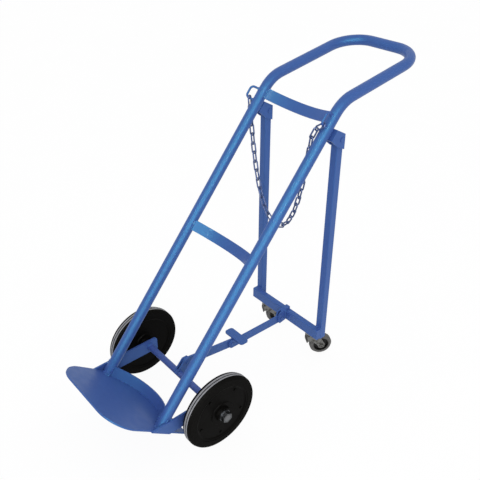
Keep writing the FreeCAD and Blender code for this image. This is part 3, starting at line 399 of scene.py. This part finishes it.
disc, disc_shader = start_finish("black_moulded_disc", IOR=1.49, Specular_IOR_Level=0.02)
disc_place = place_on(disc)
rings = add_node(disc, "ShaderNodeTexWave",
                 {"Vector": from_axle(disc, disc_place), "Scale": TURNING_SCALE,
                  "Distortion": TURNING_WAVER}, wave_type="RINGS", rings_direction="X")
scuffs = patches(disc, disc_place, clouds=90, detail=8, rough=0.75, start=0.66, full=0.74)
feed(disc, disc_shader, "Base Color", between(disc, scuffs, DISC_BLACK, DISC_SCUFF))
uneven_gloss(disc, disc_shader, disc_place, clouds=25, smooth=0.34, rough=0.48)
disc_face = combine(disc, "ADD", rings.outputs["Fac"], grain(disc, disc_place, clouds=1200))
emboss(disc, disc_shader, disc_face, strength=0.12, depth=0.0003)
dress(disc, "left_wheel_disc", "right_wheel_disc", "left_wheel_rivets", "right_wheel_rivets")

# Tyres: solid black rubber pressed round the discs. The two ribs of the crowned tread carry a painted
# highlight, a patchy grey band where lamps would shine on them, while the groove between them, the
# shoulders and the side walls keep their moulded black.
TYRE_BLACK = (0.0026, 0.0024, 0.0021, 1)
TYRE_RIB_HIGHLIGHT = (0.33, 0.33, 0.345, 1)
TREAD_RADIUS = 0.1235
RIB_EDGE = 0.0066
HIGHLIGHT_EDGE = 0.0006
SQUARE_TO_THE_AXLE = (0, 1, 1)
tyre, tyre_shader = start_finish("tyre_rubber", IOR=1.48, Specular_IOR_Level=0.03)
tyre_place = place_on(tyre)
outward = add_node(tyre, "ShaderNodeVectorMath",
                   {0: from_axle(tyre, tyre_place), 1: SQUARE_TO_THE_AXLE}, operation="MULTIPLY")
reach = add_node(tyre, "ShaderNodeVectorMath", {0: outward.outputs["Vector"]}, operation="LENGTH")
on_tread = spread(tyre, reach.outputs["Value"], TREAD_RADIUS - HIGHLIGHT_EDGE, TREAD_RADIUS)
tyre_low, tyre_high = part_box("left_tyre")
tyre_middle = (tyre_low.x + tyre_high.x) / 2
from_middle = combine(tyre, "SUBTRACT", off_centre(tyre, tyre_place), tyre_middle)
on_rib = spread(tyre, unsigned(tyre, from_middle), RIB_EDGE, RIB_EDGE + HIGHLIGHT_EDGE,
                to_low=1.0, to_high=0.0)
# Painted highlight: grey on the tread's ribs only, broken into patches
rib_highlight = combine(tyre, "MULTIPLY", on_tread, on_rib)
tyre_clouds = grain(tyre, tyre_place, clouds=60, detail=5, rough=0.65)
patchy = spread(tyre, tyre_clouds, low=0.25, high=0.75, to_low=0.65, to_high=1.0)
patchy_rib_highlight = combine(tyre, "MULTIPLY", rib_highlight, patchy)
feed(tyre, tyre_shader, "Base Color", between(tyre, patchy_rib_highlight, TYRE_BLACK, TYRE_RIB_HIGHLIGHT))
uneven_gloss(tyre, tyre_shader, tyre_place, clouds=120, smooth=0.55, rough=0.72)
emboss(tyre, tyre_shader, grain(tyre, tyre_place, clouds=900, detail=4), strength=0.25, depth=0.0004)
dress(tyre, "left_tyre", "right_tyre")

# Washers and axle nuts: turned and pressed steel, zinc plated. The plate has gone dull, with a faint
# blue cast from the passivation and dark patches at random, partly stains and partly painted dark
# reflections that break up the plate's even tone.
ZINC = (0.13, 0.135, 0.14, 1)
ZINC_CAST = (0.08, 0.085, 0.095, 1)
ZINC_STAIN_AND_DARK_REFLECTION = (0.025, 0.025, 0.026, 1)
zinc, zinc_shader = start_finish("zinc_plate", Metallic=1.0)
zinc_place = place_on(zinc)
zinc_tone = between(zinc, grain(zinc, zinc_place, clouds=120, detail=3), ZINC, ZINC_CAST)
# Dark patches at random: partly stains, partly painted dark reflection
zinc_stains_and_dark_reflections = patches(zinc, zinc_place, clouds=300, detail=6, rough=0.7, start=0.45, full=0.65)
feed(zinc, zinc_shader, "Base Color", between(zinc, zinc_stains_and_dark_reflections, zinc_tone, ZINC_STAIN_AND_DARK_REFLECTION))
uneven_gloss(zinc, zinc_shader, zinc_place, clouds=250, smooth=0.22, rough=0.38)
emboss(zinc, zinc_shader, grain(zinc, zinc_place, clouds=2200), strength=0.1, depth=0.0002)
dress(zinc, "axle_washers", "axle_nuts")

# Castor heads, forks, axle bolts and brake pins: pressed and turned steel, its zinc plate gone grey,
# and greasy round the swivel and the axle.
FORK_STEEL = (0.17, 0.17, 0.165, 1)
FORK_GREASE = (0.045, 0.042, 0.037, 1)
fork_steel, fork_shader = start_finish("castor_pressing", Metallic=0.9)
fork_place = place_on(fork_steel)
grease = patches(fork_steel, fork_place, clouds=70, detail=5, rough=0.65, start=0.46, full=0.66)
feed(fork_steel, fork_shader, "Base Color", between(fork_steel, grease, FORK_STEEL, FORK_GREASE))
uneven_gloss(fork_steel, fork_shader, fork_place, clouds=110, smooth=0.32, rough=0.52)
fork_face = grain(fork_steel, fork_place, clouds=700, detail=3)
emboss(fork_steel, fork_shader, fork_face, strength=0.15, depth=0.0003)
dress(fork_steel, "left_castor_head", "right_castor_head", "left_castor_fork", "right_castor_fork",
      "left_castor_axle_bolt", "right_castor_axle_bolt", "left_brake_pin", "right_brake_pin")

# Castor wheel cores and brake pedals: black plastic mouldings, the cores turning on the axle bolts
# and the pedals on their pins, with light scuffs from the floor and from shoes.
castor_black, castor_shader = start_finish("castor_black_plastic", IOR=1.49, Specular_IOR_Level=0.2)
castor_place = place_on(castor_black)
castor_scuffs = patches(castor_black, castor_place, clouds=200, detail=6, rough=0.7,
                        start=0.6, full=0.75)
feed(castor_black, castor_shader, "Base Color",
     between(castor_black, castor_scuffs, DISC_BLACK, DISC_SCUFF))
uneven_gloss(castor_black, castor_shader, castor_place, clouds=80, smooth=0.4, rough=0.55)
castor_face = grain(castor_black, castor_place, clouds=1600)
emboss(castor_black, castor_shader, castor_face, strength=0.2, depth=0.0002)
dress(castor_black, "left_castor_wheel", "right_castor_wheel",
      "left_brake_pedal", "right_brake_pedal")

# Castor tyres: grey rubber moulded round the cores, matt from the mould and dusty where they have run
# over the floor.
RUBBER_GREY = (0.050, 0.049, 0.047, 1)
RUBBER_DUST = (0.095, 0.092, 0.088, 1)
rubber, rubber_shader = start_finish("grey_castor_rubber", IOR=1.48)
rubber_place = place_on(rubber)
dust = patches(rubber, rubber_place, clouds=130, detail=6, rough=0.7, start=0.4, full=0.7)
feed(rubber, rubber_shader, "Base Color", between(rubber, dust, RUBBER_GREY, RUBBER_DUST))
uneven_gloss(rubber, rubber_shader, rubber_place, clouds=90, smooth=0.6, rough=0.78)
rubber_face = grain(rubber, rubber_place, clouds=1000, detail=4)
emboss(rubber, rubber_shader, rubber_face, strength=0.3, depth=0.0003)
dress(rubber, "left_castor_tyre", "right_castor_tyre")

# Safety chain: bent and welded steel links, hung between the eyes on the pipes and dipped in a dark
# blue lacquer that has worn to paler metal in places.
CHAIN_LACQUER = (0.027, 0.056, 0.170, 1)
CHAIN_WORN = (0.095, 0.135, 0.240, 1)
LACQUER_ROUGHNESS = 0.42
WORN_ROUGHNESS = 0.3
chain_coat, chain_shader = start_finish("chain_lacquer", Metallic=0.2)
chain_place = place_on(chain_coat)
chain_wear = patches(chain_coat, chain_place, clouds=170, detail=5, rough=0.7, start=0.5, full=0.72)
feed(chain_coat, chain_shader, "Base Color",
     between(chain_coat, chain_wear, CHAIN_LACQUER, CHAIN_WORN))
feed(chain_coat, chain_shader, "Roughness",
     spread(chain_coat, chain_wear, 0.0, 1.0, LACQUER_ROUGHNESS, WORN_ROUGHNESS))
chain_face = grain(chain_coat, chain_place, clouds=900, detail=3)
emboss(chain_coat, chain_shader, chain_face, strength=0.2, depth=0.0003)
dress(chain_coat, "chain_links", "chain_end_links")

# Studio: a pale floor that fades to white before the camera and keeps a soft shadow, in an even white
# room. Two strips and a broad screen show only in the gloss, along the pipes, and a far lamp lights
# only the tones.
FLOOR_SIZE = 14
FLOOR_PALE = (0.86, 0.86, 0.87, 1)
WHITE = (1, 1, 1, 1)
FLOOR_VEIL = 0.94
ROOM_VEIL = 1.0
ROOM_FILL = 0.92
PIPES_MIDDLE = (0.1, 0.08, 0.7)
CART_FOOT = (0, -0.2, 0.4)


def white_share(finish, veil):
    """How white the studio shows: wholly in gloss or glass, and by the veil to the camera."""
    path = add_node(finish, "ShaderNodeLightPath", {})
    shown = combine(finish, "MAXIMUM", path.outputs["Is Glossy Ray"],
                    path.outputs["Is Transmission Ray"])
    veiled = combine(finish, "MULTIPLY", path.outputs["Is Camera Ray"], veil)
    return combine(finish, "MAXIMUM", veiled, shown)


bpy.ops.object.select_all(action="DESELECT")
bpy.ops.mesh.primitive_plane_add(size=FLOOR_SIZE)
floor = bpy.context.object
floor.name = "studio_floor"
pale, pale_shader = start_finish("pale_floor", Roughness=0.9, Specular_IOR_Level=0.1)
floor_tone = grain(pale, place_on(pale), clouds=3)
feed(pale, pale_shader, "Base Color", between(pale, floor_tone, FLOOR_PALE, WHITE))
glow = add_node(pale, "ShaderNodeEmission", {"Color": WHITE, "Strength": 1.0})
mixed = add_node(pale, "ShaderNodeMixShader",
                 {0: white_share(pale, FLOOR_VEIL), 1: pale_shader.outputs["BSDF"],
                  2: glow.outputs["Emission"]})
feed(pale, pale.node_tree.nodes["Material Output"], "Surface", mixed.outputs["Shader"])
floor.data.materials.append(pale)

room = bpy.data.worlds.new("white_room")
room.use_nodes = True
bpy.context.scene.world = room
fill = room.node_tree.nodes["Background"]
fill.inputs["Color"].default_value = WHITE
fill.inputs["Strength"].default_value = ROOM_FILL
backdrop = add_node(room, "ShaderNodeBackground", {"Color": WHITE, "Strength": 1.0})
joined = add_node(room, "ShaderNodeMixShader",
                  {0: white_share(room, ROOM_VEIL), 1: fill.outputs["Background"],
                   2: backdrop.outputs["Background"]})
feed(room, room.node_tree.nodes["World Output"], "Surface", joined.outputs["Shader"])


def screen(name, place, aim, width, length, watts, gloss_only=True):
    """A flat light facing a point, which shows in the gloss alone or lights the tones alone."""
    light = bpy.data.lights.new(name, "AREA")
    light.shape = "RECTANGLE"
    light.size = width
    light.size_y = length
    light.energy = watts
    holder = bpy.data.objects.new(name, light)
    bpy.context.scene.collection.objects.link(holder)
    holder.location = place
    holder.visible_diffuse = not gloss_only
    holder.visible_glossy = gloss_only
    holder.rotation_euler = (Vector(aim) - Vector(place)).to_track_quat("-Z", "Y").to_euler()


screen("front_strip", (0.15, -1.5, 2.32), PIPES_MIDDLE, width=0.07, length=1.3, watts=22)
screen("left_strip", (1.63, -0.85, 1.76), PIPES_MIDDLE, width=0.06, length=1.1, watts=16)
screen("broad_screen", (1.94, -1.76, 1.75), PIPES_MIDDLE, width=4.6, length=2.7, watts=265)
screen("far_fill", (3.89, -2.97, 4.03), CART_FOOT, width=2.0, length=2.0, watts=80,
       gloss_only=False)

# Camera: at the photograph's place, above and in front of the left wheel, with a lens that frames the
# whole cart as the photograph does.
CAMERA_PLACE = (1.248459, -1.090582, 1.564352)
CAMERA_TILT = math.radians(57.667)
CAMERA_TURN = math.radians(49.462)
LENS_MM = 46.975
SENSOR_MM = 36
NEAREST_SEEN = 0.01
camera = bpy.data.cameras.new("photo_camera")
camera.lens = LENS_MM
camera.sensor_width = SENSOR_MM
camera.clip_start = NEAREST_SEEN
stand = bpy.data.objects.new("photo_camera", camera)
bpy.context.scene.collection.objects.link(stand)
stand.location = CAMERA_PLACE
stand.rotation_euler = (CAMERA_TILT, 0, CAMERA_TURN)
bpy.context.scene.camera = stand
bpy.context.scene.view_settings.view_transform = "Standard"
